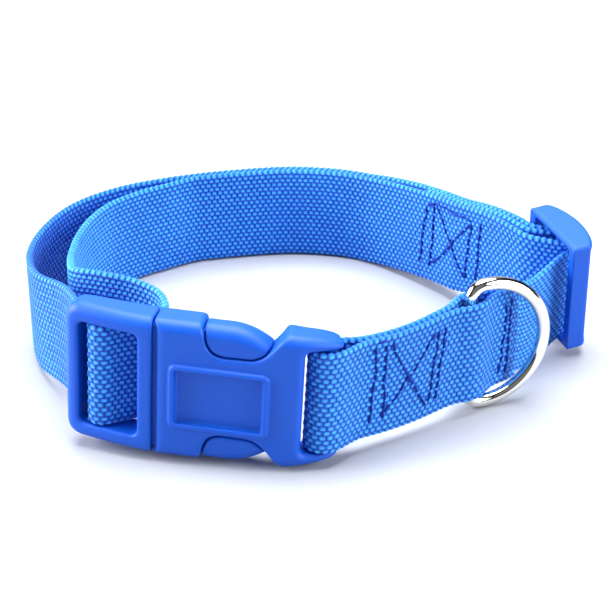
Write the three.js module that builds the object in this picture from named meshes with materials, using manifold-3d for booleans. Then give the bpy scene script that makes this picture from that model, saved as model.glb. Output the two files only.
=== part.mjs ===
// Dog collar, standing on edge as it is shown when new: one length of woven webbing, a side-release
// buckle in two halves, a three-bar slider for the length, and a welded D-ring for the lead.
// Millimetres, +Z up. The buckle faces -Y, the slider is at +X, and the neck goes in along Z.

import * as THREE from "three";
import Module from "manifold-3d";
import { mergeVertices } from "three/addons/utils/BufferGeometryUtils.js";

const wasm = await Module();
wasm.setup();

// Webbing
const webbingWidth = 25;
const webbingThickness = 1.6;
const webbingClearance = 0.3; // free space between two plies, and between webbing and hardware
const loopWidth = 139; // outer ply, left to right, at the middle of its thickness
const loopDepth = 113; // front to back, the same way
const backLean = 1.2; // how far the top edge leans away from the neck at the back
const frontTail = 11.5; // from the D-ring's bar to the cut end in front of it
const innerTail = 41; // from the slider to the cut end between the two back plies
const foldMeets = 0.495; // share of the outer ply at which the slack inner one lies against it

// Buckle, both halves
const buckleHeight = 33.7;
const buckleThickness = 8;
const plugLength = 21;
const socketLength = 42;
const seamGap = 0.3; // between the two halves, and between the arms and the socket
const frontEdgeRadius = 3.2;
const backEdgeRadius = 1.1;
const buckleRoll = 3; // degrees, the end with the webbing loop hangs a little lower
const buckleX = -18.4; // plan position of the label's centre line
const buckleY = -53.3;
const windowHeight = webbingWidth + 2 * webbingClearance;

// Buckle plug
const plugEndBar = 3.8;
const plugInnerBar = 2.9;
const plugMiddleBar = 3; // diameter
const windowRadius = 1.2;
const armLeafThickness = 4.6;
const armPadThickness = 6.4;
const armReach = 29;
const armEndPlay = 0.8; // between the arms' ends and the end of their cavity
const armInset = 1.6; // from the buckle's side to the arm's side, in the notch
const guideWidth = 6;
const guideLength = 24;

// Buckle socket
const notchStart = 11.3;
const notchEnd = 29.2;
const notchDepth = 7.2;
const cavityWall = 1.35;
const socketEndHeight = 26.4;
const socketWindowStart = 31.6;
const socketBarAlong = 37.7; // from the seam to the middle of the end bar
const socketBarWidth = 3.2;
const socketBarThickness = 4.8;
const labelLength = 22;
const labelHeight = 14.3;
const labelStart = 4.9;
const labelDrop = 0.2; // how far the label sits below the middle
const labelRim = 0.9;
const labelRelief = 0.35;
const labelRecess = 0.45;
const labelRadius = 1.6;

// Slider
const sliderHeight = 29.8;
const sliderLength = 22;
const sliderEndThickness = 5;
const sliderMiddleThickness = 7.9;
const sliderEndBar = 2.6;
const sliderMiddleBar = 2.6; // diameter
const sliderEdge = 0.8;
const sliderBack = -3; // from the middle of its centre bar to its flat back
const sliderX = 63.3; // plan position of its centre bar
const sliderY = 2.8;
const sliderLift = 1.1; // it sits this much higher than the buckle
const sliderPlay = 0.6; // and this much higher than the webbing in it
const sliderHeading = 111.5; // degrees, the way the webbing runs through it
const sliderLean = -4; // degrees, top towards the neck
const sliderRoll = 6; // degrees, far end up

// D-ring
const ringWire = 3.1;
const ringRadius = 15.3; // of the bow, to the middle of the wire
const ringBowOffset = 4.1; // from the straight bar to the centre of the bow
const ringCornerRadius = 3.4;
const ringSwing = 20; // degrees, between the ring and the webbing under it
const ringShare = 0.62; // of the way from the buckle's bar to the end of the front route

const degree = Math.PI / 180;
const halfPly = webbingThickness / 2;
const plyPitch = webbingThickness + webbingClearance;
const hardwareHeight = buckleHeight / 2 + 0.05;
const hardwareLift = hardwareHeight - webbingWidth / 2;

// How the buckle bends round the neck: heading of its middle line at stations along it.
// along is a share of the plug's length below the seam and of the socket's length above it.
const buckleBend = [
  { along: -1, heading: -22 },
  { along: -0.1, heading: -16 },
  { along: 0.07, heading: -9 },
  { along: 0.65, heading: -9 },
  { along: 0.81, heading: 11 },
  { along: 1, heading: 14 },
];

// Outside of the plug, from its free end to the seam. Height and thickness are shares of the
// buckle's own; back and front say where the thickness lies about the middle line.
const plugSections = [
  { along: -1, height: 0.52, back: 0.24, front: 0.2 },
  { along: -0.975, height: 0.72, back: 0.33, front: 0.31 },
  { along: -0.93, height: 0.86, back: 0.38, front: 0.37 },
  { along: -0.85, height: 0.965, back: 0.4, front: 0.4 },
  { along: -0.66, height: 0.995, back: 0.42, front: 0.43 },
  { along: -0.4, height: 1, back: 0.46, front: 0.47 },
  { along: -0.14, height: 1, back: 0.5, front: 0.5 },
  { along: 0, height: 1, back: 0.5, front: 0.5 },
];

// Outside of the socket, from the seam to the webbing loop. Height runs from the full height, 1,
// to the height of the open end, 0.
const socketSections = [
  { along: 0, height: 1, depth: 1 },
  { along: 0.07, height: 1, depth: 1 },
  { along: 0.3, height: 1, depth: 1 },
  { along: 0.64, height: 1, depth: 1 },
  { along: 0.7, height: 0.9, depth: 0.99 },
  { along: 0.75, height: 0.82, depth: 0.97 },
  { along: 0.8, height: 0.74, depth: 0.95 },
  { along: 0.87, height: 0.6, depth: 0.93 },
  { along: 0.93, height: 0.43, depth: 0.9 },
  { along: 0.975, height: 0.2, depth: 0.82 },
  { along: 1, height: 0, depth: 0.7 },
];

// Grip pad of an arm inside its notch. along is a share of the notch's length, side is how far the
// pad's outer side has dropped, as a share of the notch's depth.
const padSections = [
  { along: 0.05, side: 0.1, depth: 0.85 },
  { along: 0.12, side: 0, depth: 1 },
  { along: 0.5, side: 0, depth: 1 },
  { along: 0.66, side: 0.12, depth: 1 },
  { along: 0.8, side: 0.32, depth: 0.94 },
  { along: 0.9, side: 0.5, depth: 0.86 },
];

// Middle line of the two front plies, from the socket's end bar towards the slider.
// across and away are shares of half the loop's width and depth.
const frontRoute = [
  { across: 0.217, away: -0.841 },
  { across: 0.348, away: -0.744 },
  { across: 0.485, away: -0.62 },
  { across: 0.591, away: -0.508 },
  { across: 0.675, away: -0.411 },
];

// The single ply between the cut front tail and the slider.
const sideRoute = [
  { across: 0.729, away: -0.315 },
  { across: 0.783, away: -0.234 },
];

// Outer ply from the slider round the back and the left to the buckle plug. sink is the share of
// the way from the hardware's height down to the ground.
const outerRoute = [
  { across: 0.7, away: 0.332, sink: 0.05 },
  { across: 0.615, away: 0.47, sink: 0.25 },
  { across: 0.535, away: 0.605, sink: 0.42 },
  { across: 0.38, away: 0.81, sink: 0.75 },
  { across: 0.18, away: 0.95, sink: 1 },
  { across: -0.045, away: 1, sink: 1 },
  { across: -0.265, away: 0.965, sink: 1 },
  { across: -0.5, away: 0.885, sink: 1 },
  { across: -0.72, away: 0.755, sink: 1 },
  { across: -0.88, away: 0.56, sink: 1 },
  { across: -0.965, away: 0.3, sink: 1 },
  { across: -0.985, away: 0.03, sink: 0.9 },
  { across: -0.935, away: -0.2, sink: 0.6 },
  { across: -0.838, away: -0.4, sink: 0.28 },
];

// Loose fold behind the plug and the slack inner ply on the left.
const foldRoute = [
  { across: -0.475, away: -0.715, sink: 0 },
  { across: -0.48, away: -0.62, sink: 0 },
  { across: -0.515, away: -0.52, sink: 0.05 },
  { across: -0.6, away: -0.43, sink: 0.1 },
  { across: -0.71, away: -0.362, sink: 0.2 },
  { across: -0.8, away: -0.27, sink: 0.4 },
  { across: -0.84, away: -0.11, sink: 0.7 },
  { across: -0.85, away: 0.06, sink: 0.9 },
  { across: -0.843, away: 0.23, sink: 1 },
  { across: -0.812, away: 0.4, sink: 1 },
  { across: -0.748, away: 0.56, sink: 1 },
  { across: -0.655, away: 0.69, sink: 1 },
  { across: -0.545, away: 0.79, sink: 1 },
];

// How the webbing passes the slider. along is a share of half the slider's length, plies counts
// plies below its far bar, rise is towards the outside, in thicknesses of the webbing.
const sliderPasses = {
  entry: [{ along: -0.49, plies: 0, rise: 0.25 }],
  exit: [
    { along: 0.68, plies: 0, rise: 0.2 },
    { along: 0.8, plies: 0, rise: -0.16 },
    { along: 1.1, plies: 0, rise: -0.75 },
  ],
  loopEntry: [
    { along: 0.8, plies: 2, rise: -0.5 },
    { along: 0.5, plies: 2, rise: 0 },
    { along: 0.25, plies: 2, rise: 1 },
  ],
  loopExit: [
    { along: 0.38, plies: 1, rise: 2.1 },
    { along: 0.62, plies: 1, rise: 0.15 },
    { along: 0.84, plies: 1, rise: -0.4 },
  ],
};

// The same in the plug: along is a share of the plug's window, rise is counted from the place
// where the webbing lies against the plug's back.
const plugPasses = {
  entry: [
    { along: 0.06, rise: 0.56 },
    { along: 0.13, rise: 1.62 },
  ],
  exit: [
    { along: 0.88, rise: 0.44 },
    { along: 1.06, rise: -0.22 },
  ],
};

const materials = {
  webbing: new THREE.MeshStandardMaterial({ color: 0x3f97f5, roughness: 0.8, metalness: 0 }),
  plastic: new THREE.MeshStandardMaterial({ color: 0x2f5fd6, roughness: 0.42, metalness: 0 }),
  chrome: new THREE.MeshStandardMaterial({ color: 0xe6e4df, roughness: 0.12, metalness: 1 }),
};

// Value of a named column at a place in a table whose rows are in order of `along`.
function fromTable(table, column, along) {
  const next = table.findIndex((row) => row.along >= along);
  if (next === 0) return table[0][column];
  if (next < 0) return table[table.length - 1][column];
  const before = table[next - 1];
  const after = table[next];
  const share = (along - before.along) / (after.along - before.along);
  return THREE.MathUtils.lerp(before[column], after[column], share);
}

function buckleShare(along) {
  return along < 0 ? along / plugLength : along / socketLength;
}

// Point on the buckle's bent middle line, and its heading there, found by walking from the label.
function buckleLine(along) {
  const labelMiddle = labelStart + labelLength / 2;
  const steps = 60;
  const step = (along - labelMiddle) / steps;
  let x = buckleX;
  let y = buckleY;
  for (let i = 0; i < steps; i += 1) {
    const here = labelMiddle + (i + 0.5) * step;
    const heading = fromTable(buckleBend, "heading", buckleShare(here)) * degree;
    x += step * Math.cos(heading);
    y += step * Math.sin(heading);
  }
  return { x, y, heading: fromTable(buckleBend, "heading", buckleShare(along)) * degree };
}

// The buckle is drawn straight: along its length, up from its middle, out from its middle line.
function onBuckle(along, up, out) {
  const line = buckleLine(along);
  const x = line.x + out * Math.sin(line.heading);
  const y = line.y - out * Math.cos(line.heading);
  return new THREE.Vector3(x, y, hardwareHeight + up);
}

// Where the webbing is held by a rigid piece it turns with it, and less and less further away.
const upwards = new THREE.Vector3(0, 0, 1);
const sliderAlong = new THREE.Vector3(1, 0, 0).applyAxisAngle(upwards, sliderHeading * degree);
const sliderOut = new THREE.Vector3(sliderAlong.y, -sliderAlong.x, 0);
const sliderTilt = sliderAlong.clone().multiplyScalar(sliderLean);
sliderTilt.addScaledVector(sliderOut, sliderRoll);
const sliderCentre = new THREE.Vector3(sliderX, sliderY, hardwareHeight + sliderLift);
const buckleFoot = onBuckle(notchEnd, -buckleHeight / 2, 0);
const buckleMiddle = onBuckle((socketLength - plugLength) / 2, 0, 0);
const seats = {
  buckle: {
    pivot: new THREE.Vector3(buckleFoot.x, buckleMiddle.y, buckleFoot.z),
    middle: buckleMiddle,
    axis: new THREE.Vector3(0, 1, 0),
    turn: buckleRoll * degree,
    holds: (plugLength + socketLength) * 0.6,
    fades: plugLength + socketLength,
  },
  slider: {
    pivot: sliderCentre,
    middle: sliderCentre,
    axis: sliderTilt.clone().normalize(),
    turn: sliderTilt.length() * degree,
    holds: sliderLength * 0.7,
    fades: sliderLength * 1.6,
  },
};

function settled(point) {
  const moved = point.clone();
  for (const seat of Object.values(seats)) {
    const away = Math.hypot(point.x - seat.middle.x, point.y - seat.middle.y);
    const hold = 1 - THREE.MathUtils.smoothstep(away, seat.holds, seat.fades);
    moved.sub(seat.pivot).applyAxisAngle(seat.axis, seat.turn * hold).add(seat.pivot);
  }
  return moved;
}

// A group that turns its pieces about a seat's pivot by the seat's whole angle.
function seatedGroup(seat, ...pieces) {
  const inner = new THREE.Group();
  inner.position.copy(seat.pivot).negate();
  inner.add(...pieces);
  const outer = new THREE.Group();
  outer.position.copy(seat.pivot);
  outer.quaternion.setFromAxisAngle(seat.axis, seat.turn);
  outer.add(inner);
  return outer;
}

// Turns a closed mesh's faces out where they point in.
function facingOut(geometry) {
  const corner = [0, 1, 2].map(() => new THREE.Vector3());
  const index = geometry.getIndex();
  const place = geometry.getAttribute("position");
  let volume = 0;
  for (let i = 0; i < index.count; i += 3) {
    corner.forEach((point, k) => point.fromBufferAttribute(place, index.getX(i + k)));
    volume += corner[0].dot(corner[1].clone().cross(corner[2]));
  }
  if (volume < 0) {
    for (let i = 0; i < index.count; i += 3) {
      const first = index.getX(i);
      index.setX(i, index.getX(i + 1));
      index.setX(i + 1, first);
    }
  }
  return geometry;
}

// Closed skin over a row of like rings of points; a loop of rings has no ends to cap.
function skinOver(rings, isLoop = false) {
  const sides = rings[0].length;
  const faces = [];
  const spans = isLoop ? rings.length : rings.length - 1;
  for (let i = 0; i < spans; i += 1) {
    for (let k = 0; k < sides; k += 1) {
      const a = i * sides + k;
      const b = i * sides + ((k + 1) % sides);
      const c = ((i + 1) % rings.length) * sides + k;
      const d = ((i + 1) % rings.length) * sides + ((k + 1) % sides);
      faces.push(a, b, c, b, d, c);
    }
  }
  if (!isLoop) {
    const last = (rings.length - 1) * sides;
    for (let k = 1; k < sides - 1; k += 1) {
      faces.push(0, k + 1, k);
      faces.push(last, last + k, last + k + 1);
    }
  }
  const geometry = new THREE.BufferGeometry().setFromPoints(rings.flat());
  geometry.setIndex(faces);
  return facingOut(geometry);
}

// Extruded outline, each of its corners moved by `place`. Long sides get extra points, so that
// they can follow a bend.
function prism(shape, from, to, place, curveSegments = 6) {
  const finest = 4;
  const withSteps = (points) => points.flatMap((point, i) => {
    const next = points[(i + 1) % points.length];
    const count = Math.max(1, Math.ceil(point.distanceTo(next) / finest));
    return Array.from({ length: count }, (_, k) => point.clone().lerp(next, k / count));
  });
  const distinct = (points) => points.filter((point, i) => {
    return point.distanceTo(points[(i + 1) % points.length]) > 1e-4;
  });
  const outline = shape.extractPoints(curveSegments);
  const stepped = new THREE.Shape(withSteps(distinct(outline.shape)));
  stepped.holes = outline.holes.map((hole) => new THREE.Path(withSteps(distinct(hole))));
  const raw = new THREE.ExtrudeGeometry(stepped, { depth: to - from, bevelEnabled: false });
  raw.deleteAttribute("normal");
  raw.deleteAttribute("uv");
  const geometry = mergeVertices(raw);
  const position = geometry.getAttribute("position");
  for (let i = 0; i < position.count; i += 1) {
    const moved = place(position.getX(i), position.getY(i), position.getZ(i) + from);
    position.setXYZ(i, moved.x, moved.y, moved.z);
  }
  return facingOut(geometry);
}

function solid(geometry) {
  const vertProperties = Float32Array.from(geometry.getAttribute("position").array);
  const triVerts = Uint32Array.from(geometry.getIndex().array);
  return new wasm.Manifold(new wasm.Mesh({ numProp: 3, vertProperties, triVerts }));
}

function pieceOf(name, body, material) {
  const mesh = body.getMesh();
  const geometry = new THREE.BufferGeometry();
  geometry.setAttribute("position", new THREE.BufferAttribute(mesh.vertProperties, 3));
  geometry.setIndex(new THREE.BufferAttribute(mesh.triVerts, 1));
  geometry.computeVertexNormals();
  return named(name, geometry, material);
}

function named(name, geometry, material) {
  const piece = new THREE.Mesh(geometry, material);
  piece.name = name;
  return piece;
}

// Outline with two radii: backRadius at the two corners on the back, frontRadius on the front.
function section(low, high, back, front, backRadius = 0, frontRadius = 0) {
  const corners = [
    { up: low, out: front, upSide: 1, outSide: -1, radius: frontRadius, steps: 4, turn: 180 },
    { up: high, out: front, upSide: -1, outSide: -1, radius: frontRadius, steps: 4, turn: 90 },
    { up: high, out: back, upSide: -1, outSide: 1, radius: backRadius, steps: 2, turn: 0 },
    { up: low, out: back, upSide: 1, outSide: 1, radius: backRadius, steps: 2, turn: -90 },
  ];
  const points = [];
  for (const corner of corners) {
    const room = Math.min(corner.radius, (high - low) / 2.05, (front - back) / 2.05);
    const steps = corner.radius === 0 ? 0 : corner.steps;
    for (let i = 0; i <= steps; i += 1) {
      const angle = (corner.turn - (steps === 0 ? 0 : (90 * i) / steps)) * degree;
      const up = corner.up + corner.upSide * room + room * Math.cos(angle);
      const out = corner.out + corner.outSide * room + room * Math.sin(angle);
      points.push({ up, out });
    }
  }
  return points;
}

// Rounded body drawn along the buckle. Each row: along in mm and its outline.
function alongBuckle(rows) {
  const rings = rows.map((row) => {
    return row.outline.map((point) => onBuckle(row.along, point.up, point.out));
  });
  return solid(skinOver(rings));
}

function boxAlongBuckle(from, to, low, high, back, front) {
  const steps = Math.max(1, Math.ceil((to - from) / 3));
  const rows = [];
  for (let i = 0; i <= steps; i += 1) {
    rows.push({ along: from + ((to - from) * i) / steps, outline: section(low, high, back, front) });
  }
  return alongBuckle(rows);
}

function roundedRectangle(left, right, low, high, radius) {
  const shape = new THREE.Shape();
  shape.moveTo(left + radius, low);
  shape.lineTo(right - radius, low);
  shape.absarc(right - radius, low + radius, radius, -Math.PI / 2, 0);
  shape.lineTo(right, high - radius);
  shape.absarc(right - radius, high - radius, radius, 0, Math.PI / 2);
  shape.lineTo(left + radius, high);
  shape.absarc(left + radius, high - radius, radius, Math.PI / 2, Math.PI);
  shape.lineTo(left, low + radius);
  shape.absarc(left + radius, low + radius, radius, Math.PI, Math.PI * 1.5);
  return shape;
}

// Right through the buckle, whatever its thickness.
function cutThroughBuckle(shape, curveSegments) {
  return solid(prism(shape, -buckleThickness, buckleThickness, onBuckle, curveSegments));
}

// Upright bar whose outline is drawn along and out, from low to high.
function uprightBar(outline, low, high) {
  return solid(prism(outline, low, high, (along, out, up) => onBuckle(along, up, out)));
}

const socketBarMiddle = { along: socketBarAlong, out: -0.2 };
const plugBarMiddle = { along: -plugLength * 0.6, out: 0 };
const plugWindow = { from: -plugLength + plugEndBar, to: -plugInnerBar };

function bucklePlug() {
  const half = buckleHeight / 2;
  let body = alongBuckle(plugSections.map((row) => ({
    along: row.along * plugLength,
    outline: section(
      -half * row.height,
      half * row.height,
      -buckleThickness * row.back,
      buckleThickness * row.front,
      backEdgeRadius,
      frontEdgeRadius * Math.min(1, row.front * 2),
    ),
  })));
  const window = roundedRectangle(
    plugWindow.from,
    plugWindow.to,
    -windowHeight / 2,
    windowHeight / 2,
    windowRadius,
  );
  body = body.subtract(cutThroughBuckle(window, 2));
  const bar = new THREE.Shape();
  bar.absarc(plugBarMiddle.along, plugBarMiddle.out, plugMiddleBar / 2, 0, Math.PI * 2);
  body = body.add(uprightBar(bar, -windowHeight / 2 - 1, windowHeight / 2 + 1));
  const leaf = armLeafThickness / 2;
  const guideHalf = guideWidth / 2;
  const guideFoot = -plugInnerBar / 2;
  body = body.add(boxAlongBuckle(guideFoot, guideLength, -guideHalf, guideHalf, -leaf, leaf));
  for (const side of [1, -1]) {
    body = body.add(plugArm(side));
  }
  return pieceOf("buckle_plug", body, materials.plastic);
}

const cavityHalf = { height: buckleHeight / 2 - cavityWall, depth: armLeafThickness / 2 + seamGap };

// One side arm: a flat leaf out of the frame, and a thicker grip pad that fills the notch.
function plugArm(side) {
  const outer = buckleHeight / 2 - armInset;
  const notchFloor = buckleHeight / 2 - notchDepth;
  const leafInner = notchFloor - 2;
  const leaf = armLeafThickness / 2;
  const notchLength = notchEnd - notchStart;
  const between = (low, high) => (side > 0 ? [low, high] : [-high, -low]);
  const leafRows = [
    { along: -plugInnerBar / 2, outer },
    { along: notchStart * 0.5, outer },
    { along: notchStart, outer },
    { along: notchStart + notchLength * 0.4, outer: notchFloor + 1 },
    { along: notchStart + notchLength * 0.7, outer: notchFloor + 1 },
    { along: armReach - 1, outer: notchFloor + 1 },
    { along: armReach, outer: notchFloor },
  ];
  const leafBody = alongBuckle(leafRows.map((row) => ({
    along: row.along,
    outline: section(...between(leafInner, row.outer), -leaf, leaf),
  })));
  const pad = armPadThickness / 2;
  const padBody = alongBuckle(padSections.map((row) => ({
    along: notchStart + row.along * notchLength,
    outline: section(
      ...between(notchFloor + seamGap, outer + 0.3 - row.side * notchDepth),
      -pad * row.depth,
      pad * row.depth,
      0.8,
      1.6,
    ),
  })));
  return leafBody.add(padBody.intersect(cutThroughBuckle(notchOutline(side, seamGap), 5)));
}

// Outline of the notch in the socket's side, smaller all round by `inset`.
function notchOutline(side, inset = 0) {
  const rim = buckleHeight / 2;
  const edge = rim + 2;
  const floor = rim - notchDepth + inset;
  const start = notchStart + inset;
  const end = notchEnd - inset;
  const length = end - start;
  const depth = notchDepth - inset;
  const notch = new THREE.Shape();
  notch.moveTo(start - length * 0.08, side * edge);
  notch.lineTo(start - length * 0.03, side * (rim - depth * 0.04));
  notch.lineTo(start, side * (rim - depth * 0.3));
  notch.quadraticCurveTo(start + length * 0.02, side * floor, start + length * 0.27, side * floor);
  notch.lineTo(start + length * 0.5, side * floor);
  notch.bezierCurveTo(
    start + length * 0.74,
    side * floor,
    start + length * 0.82,
    side * (rim - depth * 0.6),
    end,
    side * rim,
  );
  notch.lineTo(end + length * 0.06, side * edge);
  return notch;
}

function buckleSocket() {
  const half = buckleHeight / 2;
  const endHalf = socketEndHeight / 2;
  let body = alongBuckle(socketSections.map((row) => {
    const reach = endHalf + (half - endHalf) * row.height;
    const depth = (buckleThickness / 2) * row.depth;
    return {
      along: seamGap + row.along * (socketLength - seamGap),
      outline: section(-reach, reach, -depth, depth, backEdgeRadius, frontEdgeRadius),
    };
  }));
  const { height, depth } = cavityHalf;
  const innerHeight = half - notchDepth + 1 + seamGap;
  const shoulder = THREE.MathUtils.lerp(notchStart, notchEnd, 0.13);
  body = body.subtract(boxAlongBuckle(-1, shoulder, -height, height, -depth, depth));
  body = body.subtract(boxAlongBuckle(notchStart, armReach + armEndPlay, -innerHeight, innerHeight, -depth, depth));
  for (const side of [1, -1]) {
    body = body.subtract(cutThroughBuckle(notchOutline(side), 5));
  }
  const window = roundedRectangle(
    socketWindowStart,
    socketLength + 2,
    -windowHeight / 2,
    windowHeight / 2,
    windowRadius,
  );
  body = body.subtract(cutThroughBuckle(window, 3));
  const bar = new THREE.Shape();
  bar.absellipse(
    socketBarMiddle.along,
    socketBarMiddle.out,
    socketBarWidth / 2,
    socketBarThickness / 2,
    0,
    Math.PI * 2,
  );
  body = body.add(uprightBar(bar, -windowHeight / 2 - 0.4, windowHeight / 2 + 0.4));
  return pieceOf("buckle_socket", framedLabel(body), materials.plastic);
}

// Raised rim round a shallow recess on the socket's front, kept bare.
function framedLabel(body) {
  const front = buckleThickness / 2;
  const middle = -labelDrop;
  const outline = (inset) => roundedRectangle(
    labelStart + inset,
    labelStart + labelLength - inset,
    middle - labelHeight / 2 + inset,
    middle + labelHeight / 2 - inset,
    labelRadius - inset,
  );
  const rim = solid(prism(outline(0), front - labelRecess - 0.2, front + labelRelief, onBuckle, 4));
  const recess = solid(prism(outline(labelRim), front - labelRecess, front + 2, onBuckle, 4));
  return body.add(rim).subtract(recess);
}

// The slider is drawn along the webbing, up, and out from the neck, and set in place as a mesh.
const sliderWindow = windowHeight + 2 * sliderPlay;
function strapSlider() {
  const half = sliderLength / 2;
  const side = sliderEndThickness + sliderBack;
  const crown = sliderMiddleThickness + sliderBack;
  const profile = new THREE.Shape();
  profile.moveTo(-half, sliderBack + sliderEdge);
  profile.quadraticCurveTo(-half, sliderBack, -half + sliderEdge, sliderBack);
  profile.lineTo(half - sliderEdge, sliderBack);
  profile.quadraticCurveTo(half, sliderBack, half, sliderBack + sliderEdge);
  profile.lineTo(half, side - sliderEdge);
  profile.bezierCurveTo(half, side + sliderEdge, half * 0.5, crown, 0, crown);
  profile.bezierCurveTo(-half * 0.5, crown, -half, side + sliderEdge, -half, side - sliderEdge);
  const upright = (along, out, up) => new THREE.Vector3(along, -out, up);
  let body = solid(prism(profile, -sliderHeight / 2, sliderHeight / 2, upright, 7));
  const inner = half - sliderEndBar;
  const past = sliderMiddleThickness;
  body = body.subtract(sliderOpening(-inner, inner, sliderBack - past, crown + past));
  body = body.subtract(sliderOpening(-half - past, -inner, side, crown + past));
  body = body.subtract(sliderOpening(inner, half + past, side, crown + past));
  const round = new THREE.Shape();
  round.absarc(0, 0, sliderMiddleBar / 2, 0, Math.PI * 2);
  const barReach = (sliderWindow + sliderHeight) / 4;
  body = body.add(solid(prism(round, -barReach, barReach, upright, 5)));
  const piece = pieceOf("strap_slider", body, materials.plastic);
  piece.position.copy(sliderCentre);
  piece.rotation.z = sliderHeading * degree;
  return piece;
}

// Clear space between the slider's two rails, cut from its front or right through.
function sliderOpening(from, to, back, front) {
  const hole = roundedRectangle(from, to, -sliderWindow / 2, sliderWindow / 2, webbingClearance);
  const facing = (along, up, out) => new THREE.Vector3(along, -out, up);
  return solid(prism(hole, back, front, facing, 2));
}

// Plan points of the webbing's middle line carry the height of its bottom edge as z.
function besideBuckle(along, out) {
  return onBuckle(along, -webbingWidth / 2, out);
}

function besideSlider(along, out) {
  const point = sliderCentre.clone().addScaledVector(sliderAlong, along);
  return point.addScaledVector(sliderOut, out).setZ(hardwareLift + sliderLift - sliderPlay);
}

function routePoint(row) {
  const lift = hardwareLift * (1 - (row.sink ?? 0));
  return new THREE.Vector3((row.across * loopWidth) / 2, (row.away * loopDepth) / 2, lift);
}

// Points round a bar, from one angle to another, in degrees from the way the hardware runs.
function roundBar(place, middle, radius, from, to) {
  const steps = Math.ceil(Math.abs(to - from) / 30);
  return Array.from({ length: steps + 1 }, (_, i) => {
    const angle = (from + ((to - from) * i) / steps) * degree;
    return place(middle.along + radius * Math.cos(angle), middle.out + radius * Math.sin(angle));
  });
}

function smoothCurve(points) {
  return new THREE.CatmullRomCurve3(points, false, "centripetal");
}

// Point beside a curve, to its right by `aside`, at a distance from its start.
function beside(curve, distance, aside) {
  const share = THREE.MathUtils.clamp(distance / curve.getLength(), 0, 1);
  const point = curve.getPointAt(share);
  const tangent = curve.getTangentAt(share).setZ(0).normalize();
  return point.add(new THREE.Vector3(tangent.y, -tangent.x, 0).multiplyScalar(aside));
}

function hump(distance, reach) {
  return Math.abs(distance) < reach ? 0.5 + 0.5 * Math.cos((Math.PI * distance) / reach) : 0;
}

const socketBarEnd = besideBuckle(socketBarMiddle.along, socketBarMiddle.out);
const frontRun = smoothCurve([socketBarEnd, ...[...frontRoute, ...sideRoute].map(routePoint)]);
const ringFromBar = ringShare * frontRun.getLength();
const socketWrap = socketBarThickness / 2 + webbingClearance + halfPly;
const ringWrap = ringWire / 2 + webbingClearance * 1.4 + halfPly;

// Half the distance between the two front plies, wider round the socket's bar and the ring's bar.
function frontSpread(distance) {
  const even = plyPitch / 2;
  const atBar = (socketWrap - even) * hump(distance, socketWrap * 3);
  const atRing = (ringWrap - even) * hump(distance - ringFromBar, ringWire * 2.4);
  return even + atBar + atRing;
}

// Middle line of the whole length of webbing, from the tail in front of the ring to the tail
// between the two back plies.
function webbingLine() {
  const step = 3;
  const tailStart = ringFromBar + frontTail;
  const outward = [];
  for (let distance = tailStart; distance > 0; distance -= step) {
    outward.push(beside(frontRun, distance, frontSpread(distance)));
  }
  const start = frontRun.getPoint(0);
  const along = frontRun.getTangent(0).setZ(0).normalize();
  const toRight = new THREE.Vector3(along.y, -along.x, 0);
  const turned = roundBar((ahead, aside) => {
    return start.clone().addScaledVector(along, ahead).addScaledVector(toRight, aside);
  }, { along: 0, out: 0 }, socketWrap, 90, 270);
  const back = [];
  for (let distance = step; distance < frontRun.getLength(); distance += step) {
    back.push(beside(frontRun, distance, -frontSpread(distance)));
  }

  const loopTurn = sliderMiddleBar / 2 + webbingClearance + halfPly;
  const overTurn = loopTurn + plyPitch + webbingClearance / 2;
  const farBar = sliderBack - webbingClearance - halfPly;
  const passSlider = (row) => besideSlider(
    (row.along * sliderLength) / 2,
    farBar - row.plies * plyPitch + row.rise * webbingThickness,
  );
  const sliderBar = { along: 0, out: 0 };
  const outerRun = smoothCurve([
    ...sliderPasses.exit.map(passSlider),
    ...outerRoute.map(routePoint),
    besideBuckle(-plugLength * 1.02, -buckleThickness * 0.74),
  ]);
  const roundOutside = outerRun.getSpacedPoints(46);

  const plugWrap = plugMiddleBar / 2 + webbingClearance + halfPly;
  const plugBack = -buckleThickness / 2 - webbingClearance - halfPly;
  const passPlug = (row) => besideBuckle(
    THREE.MathUtils.lerp(plugWindow.from, plugWindow.to, row.along),
    plugBack + row.rise * webbingThickness,
  );

  // The inner ply lies against the outer one, and near the slider the second tail is between them.
  const meets = foldMeets * outerRun.getLength();
  const untilExit = sliderLength * 0.3;
  const roundInside = [];
  for (let distance = meets; distance > untilExit; distance -= step * 1.5) {
    const besideTail = THREE.MathUtils.smoothstep(-distance, -innerTail * 1.6, -innerTail * 1.02);
    roundInside.push(beside(outerRun, distance, -plyPitch * (1 + besideTail)));
  }
  const tail = [];
  for (let distance = untilExit; distance < innerTail; distance += step * 1.5) {
    tail.push(beside(outerRun, distance, -plyPitch));
  }
  return smoothCurve([
    ...outward,
    ...turned,
    ...back,
    ...sliderPasses.entry.map(passSlider),
    ...roundBar(besideSlider, sliderBar, overTurn, 180, 32),
    ...roundOutside,
    ...plugPasses.entry.map(passPlug),
    ...roundBar(besideBuckle, plugBarMiddle, plugWrap, 180, 20),
    ...plugPasses.exit.map(passPlug),
    ...foldRoute.map(routePoint),
    ...roundInside,
    ...sliderPasses.loopEntry.map(passSlider),
    ...roundBar(besideSlider, sliderBar, loopTurn, -130, -328),
    ...sliderPasses.loopExit.map(passSlider),
    ...tail,
  ]);
}

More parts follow.
